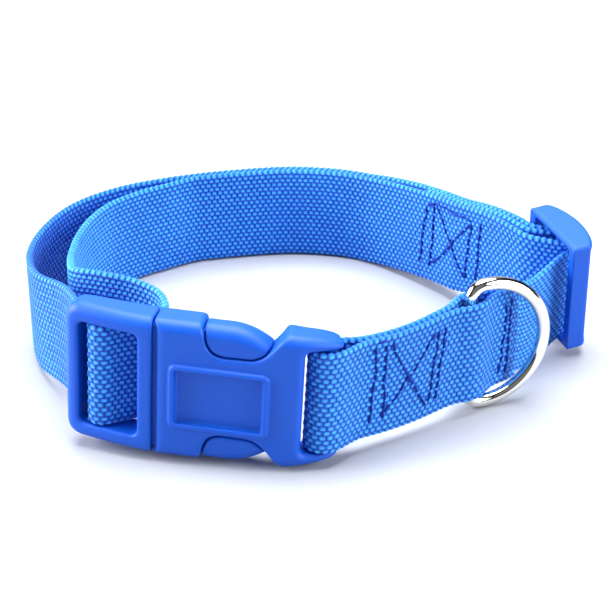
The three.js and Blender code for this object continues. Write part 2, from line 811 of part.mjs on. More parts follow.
// Stations along the middle line, close where it turns sharply and further apart where it runs
// straight.
function webbingStations() {
  const line = webbingLine();
  const samples = line.getSpacedPoints(Math.ceil(line.getLength() / 0.4));
  const heading = (i) => {
    const before = samples[Math.max(0, i - 1)];
    const after = samples[Math.min(samples.length - 1, i + 1)];
    return new THREE.Vector2(after.x - before.x, after.y - before.y).normalize();
  };
  const stations = [];
  let last = null;
  samples.forEach((point, i) => {
    const direction = heading(i);
    const isEnd = i === 0 || i === samples.length - 1;
    const hasTurned = last && Math.abs(direction.cross(last.direction)) > Math.sin(11 * degree);
    if (isEnd || hasTurned || point.distanceTo(last.point) > 5) {
      last = { point, direction };
      stations.push(last);
    }
  });
  return stations;
}

function webbing() {
  const rings = webbingStations().map(({ point, direction }) => {
    const lean = (backLean * Math.max(0, point.y) * 2) / loopDepth;
    return [[-halfPly, 0], [halfPly, 0], [halfPly, 1], [-halfPly, 1]].map(([aside, top]) => {
      const x = point.x + direction.y * aside;
      const y = point.y - direction.x * aside + lean * top;
      return settled(new THREE.Vector3(x, y, point.z + webbingWidth * top));
    });
  });
  const geometry = skinOver(rings);
  geometry.computeVertexNormals();
  return named("webbing", geometry, materials.webbing);
}

// Middle line of the ring: x away from its straight bar, y up. One straight side, two small
// corners and a round bow.
function ringLine() {
  const aside = ringBowOffset - ringCornerRadius;
  const cornerUp = Math.sqrt((ringRadius - ringCornerRadius) ** 2 - aside ** 2);
  const meets = Math.atan2(cornerUp, -aside);
  const points = [];
  const addArc = (x, y, radius, from, to, steps) => {
    for (let i = 0; i <= steps; i += 1) {
      const angle = from + ((to - from) * i) / steps;
      const at = new THREE.Vector2(x + radius * Math.cos(angle), y + radius * Math.sin(angle));
      points.push({ at, outward: new THREE.Vector2(Math.cos(angle), Math.sin(angle)) });
    }
  };
  addArc(ringCornerRadius, cornerUp, ringCornerRadius, Math.PI, meets, 3);
  addArc(ringBowOffset, 0, ringRadius, meets - 0.14, 0.14 - meets, 21);
  addArc(ringCornerRadius, -cornerUp, ringCornerRadius, -meets, -Math.PI, 3);
  return points;
}

function dRing() {
  const sides = 10;
  const rings = ringLine().map(({ at, outward }) => Array.from({ length: sides }, (_, k) => {
    const angle = ((k + 0.5) / sides) * Math.PI * 2;
    const reach = (ringWire / 2) * Math.cos(angle);
    const aside = (ringWire / 2) * Math.sin(angle);
    return new THREE.Vector3(at.x + outward.x * reach, aside, at.y + outward.y * reach);
  }));
  const geometry = skinOver(rings, true);
  geometry.computeVertexNormals();
  const piece = named("d_ring", geometry, materials.chrome);
  const share = ringFromBar / frontRun.getLength();
  const tangent = frontRun.getTangentAt(share);
  piece.position.copy(frontRun.getPointAt(share)).setZ(ringRadius + ringWire / 2 + 0.05);
  piece.rotation.z = Math.atan2(tangent.y, tangent.x) - ringSwing * degree;
  return piece;
}

const collar = new THREE.Group();
collar.add(
  webbing(),
  seatedGroup(seats.buckle, bucklePlug(), buckleSocket()),
  seatedGroup(seats.slider, strapSlider()),
  dRing(),
);

// The origin is under the middle of the whole collar, on the ground.
const box = new THREE.Box3().setFromObject(collar, true);
const middle = box.getCenter(new THREE.Vector3());
collar.position.set(-middle.x, -middle.y, -box.min.z);
const group = new THREE.Group();
group.add(collar);
group.updateMatrixWorld(true);

export default group;
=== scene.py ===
import bpy
import numpy as np
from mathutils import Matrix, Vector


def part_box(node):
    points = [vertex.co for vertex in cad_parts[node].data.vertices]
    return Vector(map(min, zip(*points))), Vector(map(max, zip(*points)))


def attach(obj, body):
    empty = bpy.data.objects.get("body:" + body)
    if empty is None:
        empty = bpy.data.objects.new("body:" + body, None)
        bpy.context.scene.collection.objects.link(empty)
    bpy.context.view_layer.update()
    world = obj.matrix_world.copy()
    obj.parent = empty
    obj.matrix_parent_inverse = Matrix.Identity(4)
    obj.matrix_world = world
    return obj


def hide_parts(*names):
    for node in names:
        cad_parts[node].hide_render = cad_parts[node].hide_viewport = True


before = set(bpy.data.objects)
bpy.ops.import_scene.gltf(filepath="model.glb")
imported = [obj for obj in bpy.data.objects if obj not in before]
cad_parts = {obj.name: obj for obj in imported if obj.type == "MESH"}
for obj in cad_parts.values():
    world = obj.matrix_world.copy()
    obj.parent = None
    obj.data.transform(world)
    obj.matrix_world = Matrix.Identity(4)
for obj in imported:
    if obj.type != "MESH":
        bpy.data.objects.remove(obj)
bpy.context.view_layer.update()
mm = 0.001
print("frame loaded")


def linear(hexColour):  # sRGB hex to linear RGBA: divide by 12.92 below the knee, power 2.4 above it
    value = np.array([int(hexColour[i:i + 2], 16) for i in (1, 3, 5)]) / 255
    value = np.where(value <= 0.04045, value / 12.92, ((value + 0.055) / 1.055) ** 2.4)
    return (*value, 1.0)


def addNode(tree, kind, settings=None, **inputs):  # a tuple of (node, socket) is linked, anything else is set
    node = tree.nodes.new(kind)
    for name, value in (settings or {}).items():
        setattr(node, name, value)
    for name, value in inputs.items():
        socket = node.inputs[int(name[1:])] if name[1:].isdigit() else node.inputs[name.replace("_", " ")]
        if isinstance(value, tuple) and isinstance(value[0], bpy.types.Node):
            tree.links.new(value[0].outputs[value[1]], socket)
        else:
            socket.default_value = value
    return node


def newMaterial(name):
    material = bpy.data.materials.new(name)
    material.use_nodes = True
    material.node_tree.nodes.clear()
    return material, material.node_tree


def meshPiece(name, points, faces, material, body, replaces=(), uv=None):  # uv: one pair for each face corner
    mesh = bpy.data.meshes.new(name)
    mesh.from_pydata(np.asarray(points, float).tolist(), [], [list(map(int, face)) for face in faces])
    mesh.shade_smooth()
    if uv is not None:
        layer = mesh.uv_layers.new(name="strap")
        layer.data.foreach_set("uv", np.asarray(uv, np.float32).ravel())
    mesh.materials.append(material)
    mesh.update()
    piece = bpy.data.objects.new(name, mesh)
    bpy.context.scene.collection.objects.link(piece)
    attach(piece, body)
    if replaces:
        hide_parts(*replaces)


def gridFaces(rows, columns, closedRows=False):  # quads of a grid of points, row after row, each row a closed ring
    i = np.arange(rows if closedRows else rows - 1)[:, None]
    k = np.arange(columns)[None, :]
    a = i * columns + k
    b = i * columns + (k + 1) % columns
    c = ((i + 1) % rows) * columns + (k + 1) % columns
    d = ((i + 1) % rows) * columns + k
    return np.stack([a, b, c, d], axis=-1).reshape(-1, 4)


# lengths in mm, angles in degrees
strap = {"width": 25.0, "half": 0.8, "clearance": 0.3, "loopWidth": 139.0, "loopDepth": 113.0, "backLean": 1.2,
         "frontTail": 15.7, "innerTail": 41.0, "ringSlack": 1.4, "barSpread": 3, "ringSpread": 2.4}
buckle = {"height": 33.7, "thickness": 8.0, "plug": 21.0, "socket": 42.0, "seam": 0.3, "roll": 3.0,
          "anchor": 15.9, "x": -18.4, "y": -53.3, "endBar": 3.8, "innerBar": 2.9, "middleBar": 3.0,
          "notchStart": 11.3, "notchEnd": 29.2, "notchDepth": 7.2, "leaf": 4.6, "pad": 7.2, "inset": 1.6,
          "reach": 29.0, "cavityWall": 1.35, "endHeight": 26.4, "windowStart": 32.6, "middleAt": 0.6,
          "barAlong": 37.7, "barOut": -0.2, "barWidth": 3.2, "barThickness": 4.8,
          "labelStart": 3.9, "labelLength": 22.2, "labelHeight": 15.8, "labelDrop": 0.75, "labelRim": 1.4,
          "labelRecess": 0.9, "labelRadius": 1.6, "frontEdge": 2.56, "backEdge": 1.1}
slider = {"height": 29.8, "length": 22.0, "end": 5.0, "middle": 7.9, "bar": 2.6, "centreBar": 2.6, "edge": 0.8,
          "back": -3.0, "x": 63.3, "y": 2.8, "lift": 1.1, "play": 0.6, "heading": 111.5, "lean": -4.0, "roll": 6.0}
ring = {"wire": 3.1, "radius": 15.3, "bow": 4.1, "corner": 3.4, "swing": 20.0, "share": 0.62}
floorGap = 0.05

windowHeight = strap["width"] + 2 * strap["clearance"]
plyPitch = 2 * strap["half"] + strap["clearance"]
hardwareHeight = buckle["height"] / 2 + floorGap
hardwareLift = hardwareHeight - strap["width"] / 2
middleBarAt = -buckle["plug"] * buckle["middleAt"]

bendAlong = np.array([-1, -0.1, 0.07, 0.65, 0.81, 1])  # shares of the plug below the seam, of the socket above it
bendHeading = np.radians([-22, -16, -9, -9, 11, 14])

# places as shares of half the loop's width and depth; the third number is 0 at the hardware's height, 1 on the floor
frontRoute = [(0.217, -0.841), (0.348, -0.744), (0.485, -0.62), (0.591, -0.508), (0.675, -0.411),
              (0.729, -0.315), (0.783, -0.234)]
outerRoute = [(0.7, 0.332, 0.05), (0.615, 0.47, 0.25), (0.535, 0.605, 0.42), (0.38, 0.81, 0.75), (0.18, 0.95, 1),
              (-0.045, 1, 1), (-0.265, 0.965, 1), (-0.5, 0.885, 1), (-0.72, 0.755, 1), (-0.88, 0.56, 1),
              (-0.965, 0.3, 1), (-0.985, 0.03, 0.9), (-0.935, -0.2, 0.6), (-0.838, -0.4, 0.28)]
foldRoute = [(-0.475, -0.715, 0), (-0.48, -0.62, 0), (-0.515, -0.52, 0.05), (-0.6, -0.43, 0.1),
             (-0.71, -0.362, 0.2), (-0.8, -0.27, 0.4), (-0.826, -0.11, 0.7), (-0.836, 0.06, 0.9),
             (-0.83, 0.23, 1), (-0.803, 0.4, 1), (-0.748, 0.56, 1), (-0.655, 0.69, 1), (-0.545, 0.79, 1)]


def buckleLine(along):  # the buckle's bent middle line: heading summed up from an anchor under the label
    past = 4  # the line goes on this far past both ends
    fine = np.linspace(-buckle["plug"] - past, buckle["socket"] + past, 1400)
    share = np.where(fine < 0, fine / buckle["plug"], fine / buckle["socket"])
    heading = np.interp(share, bendAlong, bendHeading)
    step = np.diff(fine)
    middle = (heading[1:] + heading[:-1]) / 2
    x = np.concatenate([[0], np.cumsum(step * np.cos(middle))])
    y = np.concatenate([[0], np.cumsum(step * np.sin(middle))])
    x += buckle["x"] - np.interp(buckle["anchor"], fine, x)
    y += buckle["y"] - np.interp(buckle["anchor"], fine, y)
    return np.interp(along, fine, x), np.interp(along, fine, y), np.interp(along, fine, heading)


def onBuckle(along, up, out):  # along from the seam, up from mid height, out square to the line
    x, y, heading = buckleLine(along)
    x, y = x + out * np.sin(heading), y - out * np.cos(heading)
    return np.stack(np.broadcast_arrays(x, y, hardwareHeight + up), -1)


sliderTurn = np.radians(slider["heading"])
sliderAlong = np.array([np.cos(sliderTurn), np.sin(sliderTurn), 0])
sliderOut = np.array([sliderAlong[1], -sliderAlong[0], 0])
sliderCentre = np.array([slider["x"], slider["y"], hardwareHeight + slider["lift"]])
sliderTilt = sliderAlong * slider["lean"] + sliderOut * slider["roll"]
buckleMiddle = onBuckle((buckle["socket"] - buckle["plug"]) / 2, 0, 0)
buckleFoot = onBuckle(buckle["notchEnd"], -buckle["height"] / 2, 0)
seats = [
    {"pivot": np.array([buckleFoot[0], buckleMiddle[1], buckleFoot[2]]), "middle": buckleMiddle,
     "axis": np.array([0, 1.0, 0]), "turn": np.radians(buckle["roll"]),
     "holds": (buckle["plug"] + buckle["socket"]) * 0.6, "fades": buckle["plug"] + buckle["socket"]},
    {"pivot": sliderCentre, "middle": sliderCentre, "axis": sliderTilt / np.linalg.norm(sliderTilt),
     "turn": np.radians(np.linalg.norm(sliderTilt)),
     "holds": slider["length"] * 0.7, "fades": slider["length"] * 1.6},
]


def turned(points, pivot, axis, angle):  # Rodrigues' turn of points about an axis through a pivot
    arm = points - pivot
    angle = np.asarray(angle)[..., None]
    across = np.cross(np.broadcast_to(axis, arm.shape), arm)
    along = (arm @ axis)[..., None] * axis
    return pivot + arm * np.cos(angle) + across * np.sin(angle) + along * (1 - np.cos(angle))


def settled(points):  # the webbing turns with the hardware that holds it, less and less further away
    moved = points.copy()
    for seat in seats:
        away = np.hypot(points[..., 0] - seat["middle"][0], points[..., 1] - seat["middle"][1])
        t = np.clip((away - seat["holds"]) / (seat["fades"] - seat["holds"]), 0, 1)
        moved = turned(moved, seat["pivot"], seat["axis"], seat["turn"] * (1 - t * t * (3 - 2 * t)))
    return moved


def seated(points, seat):  # the whole turn of a seat, for the hardware itself
    return turned(points, seat["pivot"], seat["axis"], np.full(points.shape[:-1], seat["turn"]))


def smoothCurve(points, steps=24):  # centripetal Catmull-Rom line through the points, as a dense row of points
    points = np.asarray(points, float)
    padded = np.vstack([2 * points[0] - points[1], points, 2 * points[-1] - points[-2]])
    p0, p1, p2, p3 = padded[:-3], padded[1:-2], padded[2:-1], padded[3:]
    t0, t1, t2 = (np.sqrt(np.linalg.norm(b - a, axis=1))[:, None] for a, b in ((p0, p1), (p1, p2), (p2, p3)))
    m1 = ((p1 - p0) / t0 - (p2 - p0) / (t0 + t1) + (p2 - p1) / t1) * t1
    m2 = ((p2 - p1) / t1 - (p3 - p1) / (t1 + t2) + (p3 - p2) / t2) * t1
    w = np.linspace(0, 1, steps, endpoint=False)[None, :, None]
    p1, p2, m1, m2 = (v[:, None, :] for v in (p1, p2, m1, m2))
    line = ((2 * w**3 - 3 * w**2 + 1) * p1 + (w**3 - 2 * w**2 + w) * m1
            + (3 * w**2 - 2 * w**3) * p2 + (w**3 - w**2) * m2)
    return np.vstack([line.reshape(-1, 3), points[-1]])


def reach(line):  # length of a line up to each of its points
    return np.concatenate([[0], np.cumsum(np.linalg.norm(np.diff(line, axis=0), axis=1))])


def pointAt(line, distance):  # place at a distance along a line, straight between its points
    length = reach(line)
    return np.stack([np.interp(distance, length, line[:, i]) for i in range(3)], -1)


def beside(line, distance, aside):  # points to the right of a line
    distance = np.asarray(distance, float)
    near = 0.05
    tangent = pointAt(line, distance + near) - pointAt(line, distance - near)
    tangent[..., 2] = 0
    tangent /= np.linalg.norm(tangent, axis=-1, keepdims=True)
    right = np.stack([tangent[..., 1], -tangent[..., 0], 0 * tangent[..., 0]], -1)
    return pointAt(line, distance) + right * np.asarray(aside)[..., None]


def besideBuckle(along, out):  # place of the strap's bottom edge beside the buckle
    return onBuckle(np.asarray(along, float), -strap["width"] / 2, np.asarray(out, float))


def besideSlider(along, out):  # the same beside the slider, with its play
    along, out = (np.asarray(v, float)[..., None] for v in (along, out))
    point = sliderCentre + along * sliderAlong + out * sliderOut
    point[..., 2] = hardwareLift + slider["lift"] - slider["play"]
    return point


def routePoints(rows):  # a route's rows in mm, its third column 0 at the hardware and 1 on the floor
    rows = np.array([(*row, 0)[:3] for row in rows], float)
    lift = hardwareLift * (1 - rows[:, 2])
    return np.stack([rows[:, 0] * strap["loopWidth"] / 2, rows[:, 1] * strap["loopDepth"] / 2, lift], -1)


def roundBar(place, along, out, radius, start, end):  # arc round a bar, a point for each 30 degrees or less
    steps = int(np.ceil(abs(end - start) / 30))
    angle = np.radians(np.linspace(start, end, steps + 1))
    return place(along + radius * np.cos(angle), out + radius * np.sin(angle))


def hump(distance, width):  # 1 in the middle, falling as a cosine to 0 at the width
    return np.where(np.abs(distance) < width, 0.5 + 0.5 * np.cos(np.pi * distance / width), 0)


def smoothStep(x, low, high):  # 0 below, 1 above, 3t^2 - 2t^3 between
    t = np.clip((x - low) / (high - low), 0, 1)
    return t * t * (3 - 2 * t)


socketBar = besideBuckle(buckle["barAlong"], buckle["barOut"])
frontRun = smoothCurve(np.vstack([socketBar[None], routePoints(frontRoute)]))
ringFromBar = ring["share"] * reach(frontRun)[-1]
socketWrap = buckle["barThickness"] / 2 + strap["clearance"] + strap["half"]
ringWrap = ring["wire"] / 2 + strap["clearance"] * strap["ringSlack"] + strap["half"]


def frontSpread(distance):  # each front ply's way from the middle line: even, with humps at the bar and the ring
    even = plyPitch / 2
    atBar = (socketWrap - even) * hump(distance, socketWrap * strap["barSpread"])
    atRing = (ringWrap - even) * hump(distance - ringFromBar, ring["wire"] * strap["ringSpread"])
    return even + atBar + atRing


def strapLine():  # the whole length of webbing, from the cut front tail to the cut tail between the back plies
    step = 3.0
    outward = np.arange(ringFromBar + strap["frontTail"], 0, -step)
    back = np.arange(step, reach(frontRun)[-1], step)
    ahead = frontRun[1] - frontRun[0]
    ahead[2] = 0
    ahead /= np.linalg.norm(ahead)
    right = np.array([ahead[1], -ahead[0], 0])

    def besideSocketBar(along, out):
        return frontRun[0] + along[:, None] * ahead + out[:, None] * right

    loopTurn = slider["centreBar"] / 2 + strap["clearance"] + strap["half"]
    overTurn = loopTurn + plyPitch + strap["clearance"] / 2
    farBar = slider["back"] - strap["clearance"] - strap["half"]

    def passSlider(rows):  # along as a share of half the slider, plies below the far bar, rise in thicknesses
        rows = np.array(rows, float)
        return besideSlider(rows[:, 0] * slider["length"] / 2,
                            farBar - rows[:, 1] * plyPitch + rows[:, 2] * 2 * strap["half"])

    outerRun = smoothCurve(np.vstack([
        passSlider([(0.68, 0, 0.2), (0.8, 0, -0.16), (1.1, 0, -0.75)]),
        routePoints(outerRoute),
        besideBuckle(-buckle["plug"] * 1.02, -buckle["thickness"] * 0.74)[None],
    ]))
    outerLength = reach(outerRun)[-1]
    windowFrom = -buckle["plug"] + buckle["endBar"]
    windowTo = -buckle["innerBar"]
    plugWrap = buckle["middleBar"] / 2 + strap["clearance"] + strap["half"]
    plugBack = -buckle["thickness"] / 2 - strap["clearance"] - strap["half"]

    def passPlug(rows):  # along as a share of the plug's window, rise from its back in thicknesses
        rows = np.array(rows, float)
        return besideBuckle(windowFrom + (windowTo - windowFrom) * rows[:, 0],
                            plugBack + rows[:, 1] * 2 * strap["half"])

    innerStart, innerEnd = outerLength * 0.495, slider["length"] * 0.3
    inside = np.arange(innerStart, innerEnd, -step * 1.5)
    besideTail = smoothStep(-inside, -strap["innerTail"] * 1.6, -strap["innerTail"] * 1.02)
    tail = np.arange(innerEnd, strap["innerTail"], step * 1.5)
    return smoothCurve(np.vstack([
        beside(frontRun, outward, frontSpread(outward)),
        roundBar(besideSocketBar, 0, 0, socketWrap, 90, 270),
        beside(frontRun, back, -frontSpread(back)),
        passSlider([(-0.49, 0, 0.25)]),
        roundBar(besideSlider, 0, 0, overTurn, 180, 32),
        pointAt(outerRun, np.linspace(0, outerLength, 47)),
        passPlug([(0.06, 0.56), (0.13, 1.62)]),
        roundBar(besideBuckle, middleBarAt, 0, plugWrap, 180, 20),
        passPlug([(0.88, 0.44), (1.06, -0.22)]),
        routePoints(foldRoute),
        beside(outerRun, inside, -plyPitch * (1 + besideTail)),
        passSlider([(0.8, 2, -0.5), (0.5, 2, 0), (0.25, 2, 1)]),
        roundBar(besideSlider, 0, 0, loopTurn, -130, -328),
        passSlider([(0.38, 1, 2.1), (0.62, 1, 0.15), (0.84, 1, -0.4)]),
        beside(outerRun, tail, np.full(tail.shape, -plyPitch)),
    ]), steps=16)


def ringLine(bowSteps, cornerSteps):  # one straight side, two small corners and a round bow
    aside = ring["bow"] - ring["corner"]
    cornerUp = np.sqrt((ring["radius"] - ring["corner"]) ** 2 - aside**2)
    meets = np.arctan2(cornerUp, -aside)
    short = 0.14  # radians left off the bow where a corner already has its last point
    arcs = [(ring["corner"], cornerUp, ring["corner"], np.linspace(np.pi, meets, cornerSteps + 1)),
            (ring["bow"], 0, ring["radius"], np.linspace(meets - short, short - meets, bowSteps + 1)),
            (ring["corner"], -cornerUp, ring["corner"], np.linspace(-meets, -np.pi, cornerSteps + 1))]
    angle = np.concatenate([arc[3] for arc in arcs])
    centre = np.concatenate([np.tile([arc[0], arc[1]], (len(arc[3]), 1)) for arc in arcs])
    radius = np.concatenate([np.full(len(arc[3]), arc[2]) for arc in arcs])
    outward = np.stack([np.cos(angle), np.sin(angle)], -1)
    return centre + radius[:, None] * outward, outward


def ringPoints(bowSteps, cornerSteps, sides):  # round wire carried along the ring's line, upright at the front strap
    at, outward = ringLine(bowSteps, cornerSteps)
    angle = (np.arange(sides) + 0.5) / sides * 2 * np.pi
    away = ring["wire"] / 2 * np.cos(angle)
    plan = at[:, None, :] + outward[:, None, :] * away[None, :, None]
    aside = np.broadcast_to(ring["wire"] / 2 * np.sin(angle), plan.shape[:2])
    place = pointAt(frontRun, ringFromBar)
    near = 0.05
    tangent = pointAt(frontRun, ringFromBar + near) - pointAt(frontRun, ringFromBar - near)
    heading = np.arctan2(tangent[1], tangent[0]) - np.radians(ring["swing"])
    x = place[0] + plan[..., 0] * np.cos(heading) - aside * np.sin(heading)
    y = place[1] + plan[..., 0] * np.sin(heading) + aside * np.cos(heading)
    z = ring["radius"] + ring["wire"] / 2 + floorGap + plan[..., 1]
    return np.stack([x, y, z], -1)


# the CAD model is centred on its own box: its ring tells by how much
plainRing = ringPoints(bowSteps=21, cornerSteps=3, sides=10).reshape(-1, 3)
cadRing = np.array(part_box("d_ring"), float) / mm
centring = cadRing.mean(axis=0) - (plainRing.min(axis=0) + plainRing.max(axis=0)) / 2
print("centring in mm", centring.round(3))


def inFrame(points):  # from mm to the frame's metres
    return (points + centring) * mm


# the webbing: 21 rows of floats, the height of its relief in mm, and the colours of float crest, flank and groove,
# with painted light on the crests and painted shade in the grooves
woven = {"rows": 21, "float": 1.6, "samples": 2, "base": 0.6, "rise": 0.26, "scallop": 0.36, "edge": 0.72,
         "wrapOver": 0.09, "light": "#4aaeff", "middle": "#1d70e4", "grooveShade": "#0f3ca2",
         "depth": 0.42, "wander": 0.5, "fibres": 0.12, "tipPower": 0.75, "flankPower": 0.5}


def wovenPolyester():
    # Polyester webbing, woven and heat set: matt round floats side by side like bricks, with the grooves between them
    # coloured dark as painted shade and the crests coloured light as painted light.
    # Fewer and thicker floats are drawn than the real webbing has, to keep the grid coarse.
    # height = |cos(pi * along / float)|^tipPower * |sin(pi * across / row)|^flankPower, half a float on in odd rows
    kind = "ShaderNodeMath"
    material, tree = newMaterial("wovenPolyester")
    uv = addNode(tree, "ShaderNodeUVMap", {"uv_map": "strap"})
    place = addNode(tree, "ShaderNodeTexCoord")
    pitch = np.array([woven["float"], strap["width"] / woven["rows"]]) * mm
    angles = addNode(tree, "ShaderNodeVectorMath", {"operation": "MULTIPLY"}, _0=(uv, 0), _1=(*(np.pi / pitch), 0))
    parts = addNode(tree, "ShaderNodeSeparateXYZ", _0=(angles, 0))
    rows = addNode(tree, kind, {"operation": "DIVIDE"}, _0=(parts, 1), _1=np.pi)
    row = addNode(tree, kind, {"operation": "FLOOR"}, _0=(rows, 0))
    odd = addNode(tree, kind, {"operation": "MODULO"}, _0=(row, 0), _1=2.0)
    wander = addNode(tree, "ShaderNodeTexNoise", None, Vector=(place, 3), Scale=900.0, Detail=1.0)
    stray = addNode(tree, kind, {"operation": "MULTIPLY_ADD"}, _0=(wander, 0), _1=woven["wander"], _2=(parts, 0))
    along = addNode(tree, kind, {"operation": "MULTIPLY_ADD"}, _0=(odd, 0), _1=np.pi / 2, _2=(stray, 0))
    waveAlong = addNode(tree, kind, {"operation": "COSINE"}, _0=(along, 0))
    waveAcross = addNode(tree, kind, {"operation": "SINE"}, _0=(parts, 1))
    sizeAlong = addNode(tree, kind, {"operation": "ABSOLUTE"}, _0=(waveAlong, 0))
    sizeAcross = addNode(tree, kind, {"operation": "ABSOLUTE"}, _0=(waveAcross, 0))
    roundAlong = addNode(tree, kind, {"operation": "POWER"}, _0=(sizeAlong, 0), _1=woven["tipPower"])
    roundAcross = addNode(tree, kind, {"operation": "POWER"}, _0=(sizeAcross, 0), _1=woven["flankPower"])
    nub = addNode(tree, kind, {"operation": "MULTIPLY"}, _0=(roundAlong, 0), _1=(roundAcross, 0))
    fibre = addNode(tree, "ShaderNodeMapping", None, Vector=(uv, 0), Scale=(900, 9000, 1))  # per metre
    lines = addNode(tree, "ShaderNodeTexNoise", None, Vector=(fibre, 0), Scale=1.0, Detail=2.0)
    height = addNode(tree, kind, {"operation": "MULTIPLY_ADD"}, _0=(lines, 0), _1=woven["fibres"], _2=(nub, 0))
    patch = addNode(tree, "ShaderNodeTexNoise", None, Vector=(place, 3), Scale=60.0, Detail=3.0)
    # painted shade and painted light: the relief's height sets the colour, so grooves come out dark as self-shadow
    # and crests light as lit tops, with random patches of tone on top
    toneAndShade = addNode(tree, kind, {"operation": "MULTIPLY_ADD"}, _0=(patch, 0), _1=0.25, _2=(nub, 0))
    shade = addNode(tree, kind, {"operation": "MULTIPLY_ADD"}, _0=(wander, 0), _1=0.35, _2=(toneAndShade, 0))
    share = addNode(tree, kind, {"operation": "DIVIDE"}, _0=(shade, 0), _1=1.3)  # a float's crest comes to about 1
    ramp = addNode(tree, "ShaderNodeValToRGB", None, Fac=(share, 0))
    stops = ramp.color_ramp.elements
    stops[0].position, stops[0].color = 0.3, linear(woven["grooveShade"])
    stops[1].position, stops[1].color = 1.0, linear(woven["light"])
    stops.new(0.66).color = linear(woven["middle"])
    bump = addNode(tree, "ShaderNodeBump", None, Height=(height, 0), Strength=1.0, Distance=woven["depth"] * mm)
    shader = addNode(tree, "ShaderNodeBsdfPrincipled", None, Base_Color=(ramp, 0), Normal=(bump, 0), Roughness=0.66,
                     IOR=1.5, Specular_IOR_Level=0.25, Sheen_Weight=0.05, Sheen_Roughness=0.5)
    addNode(tree, "ShaderNodeOutputMaterial", None, Surface=(shader, 0))
    return material


def mouldedNylon():
    # Injection-moulded nylon 6: satin from a fine spark-eroded mould, with soft wide highlights
    nylon = {"colour": "#044dbc", "grain": 0.25, "depth": 0.012, "flow": 45.0, "rough": (0.44, 0.54)}
    material, tree = newMaterial("mouldedNylon")
    place = addNode(tree, "ShaderNodeTexCoord")
    grain = addNode(tree, "ShaderNodeTexNoise", None, Vector=(place, 3), Scale=1 / (nylon["grain"] * mm), Detail=2.0)
    flow = addNode(tree, "ShaderNodeTexNoise", None, Vector=(place, 3), Scale=nylon["flow"], Detail=2.0)
    rough = addNode(tree, "ShaderNodeMapRange", None, Value=(flow, 0), To_Min=nylon["rough"][0],
                    To_Max=nylon["rough"][1])
    bump = addNode(tree, "ShaderNodeBump", None, Height=(grain, 0), Strength=0.5, Distance=nylon["depth"] * mm)
    shader = addNode(tree, "ShaderNodeBsdfPrincipled", None, Base_Color=linear(nylon["colour"]), Normal=(bump, 0),
                     Roughness=(rough, 0), IOR=1.53, Specular_IOR_Level=0.28)
    addNode(tree, "ShaderNodeOutputMaterial", None, Surface=(shader, 0))
    return material


def chromedSteel():
    # Welded steel wire, bright chrome plated: mirror-like with faint drawing marks
    chrome = {"colour": "#eeeae0", "marks": 700.0, "depth": 0.01, "rough": (0.08, 0.16)}
    material, tree = newMaterial("chromedSteel")
    place = addNode(tree, "ShaderNodeTexCoord")
    marks = addNode(tree, "ShaderNodeTexNoise", None, Vector=(place, 3), Scale=chrome["marks"], Detail=3.0)
    rough = addNode(tree, "ShaderNodeMapRange", None, Value=(marks, 0), To_Min=chrome["rough"][0],
                    To_Max=chrome["rough"][1])
    bump = addNode(tree, "ShaderNodeBump", None, Height=(marks, 0), Strength=0.3, Distance=chrome["depth"] * mm)
    shader = addNode(tree, "ShaderNodeBsdfPrincipled", None, Base_Color=linear(chrome["colour"]), Metallic=1.0,
                     Roughness=(rough, 0), Normal=(bump, 0))
    addNode(tree, "ShaderNodeOutputMaterial", None, Surface=(shader, 0))
    return material


def sewingThread():
    # Bonded polyester thread, three-ply twist: dull navy with fine slanted ribs
    thread = {"colour": "#062c8c", "twist": 900.0, "depth": 0.05}
    material, tree = newMaterial("sewingThread")
    place = addNode(tree, "ShaderNodeTexCoord")
    twist = addNode(tree, "ShaderNodeTexWave", {"wave_type": "BANDS", "bands_direction": "DIAGONAL"},
                    Vector=(place, 3), Scale=thread["twist"], Distortion=0.5)
    bump = addNode(tree, "ShaderNodeBump", None, Height=(twist, 0), Strength=0.5, Distance=thread["depth"] * mm)
    shader = addNode(tree, "ShaderNodeBsdfPrincipled", None, Base_Color=linear(thread["colour"]), Normal=(bump, 0),
                     Roughness=0.6, IOR=1.5, Specular_IOR_Level=0.2)
    addNode(tree, "ShaderNodeOutputMaterial", None, Surface=(shader, 0))
    return material


materials = {"webbing": wovenPolyester(), "plastic": mouldedNylon(), "chrome": chromedSteel(),
             "thread": sewingThread()}
print("materials made")


strapCentre = strapLine()
strapLength = reach(strapCentre)[-1]
# places along the strap: near the plug, at the slider and at its front end
sags = [{"at": 373.5, "over": 24, "drop": 1.6, "flare": 3.2}, {"at": 140.0, "over": 23, "drop": 2.5, "flare": 0},
        {"at": 6.0, "over": 34, "drop": 0.6, "flare": 0}]


def strapFrame(distance):  # place, heading and lean of the strap at distances along it
    point = pointAt(strapCentre, distance)
    near = 0.2
    ahead = pointAt(strapCentre, distance + near) - pointAt(strapCentre, distance - near)
    ahead[..., 2] = 0
    ahead /= np.linalg.norm(ahead, axis=-1, keepdims=True)
    lean = strap["backLean"] * np.maximum(0, point[..., 1]) * 2 / strap["loopDepth"]
    for sag in sags:  # where the strap hangs lower than the hardware holds it, its foot towards the front
        share = hump(distance - sag["at"], sag["over"])
        point[..., 1] -= sag["flare"] * share
        point[..., 2] -= sag["drop"] * share
        lean = lean + sag["flare"] * share
    point[..., 2] = np.maximum(point[..., 2], strap["clearance"])  # room under the scalloped edge
    return point, ahead, lean


def onStrap(distance, up, aside):  # up from the bottom edge, aside to the right of the way it runs, in mm
    point, ahead, lean = strapFrame(distance)
    x = point[..., 0] + ahead[..., 1] * aside
    y = point[..., 1] - ahead[..., 0] * aside + lean * up / strap["width"]
    return settled(np.stack(np.broadcast_arrays(x, y, point[..., 2] + up), -1))


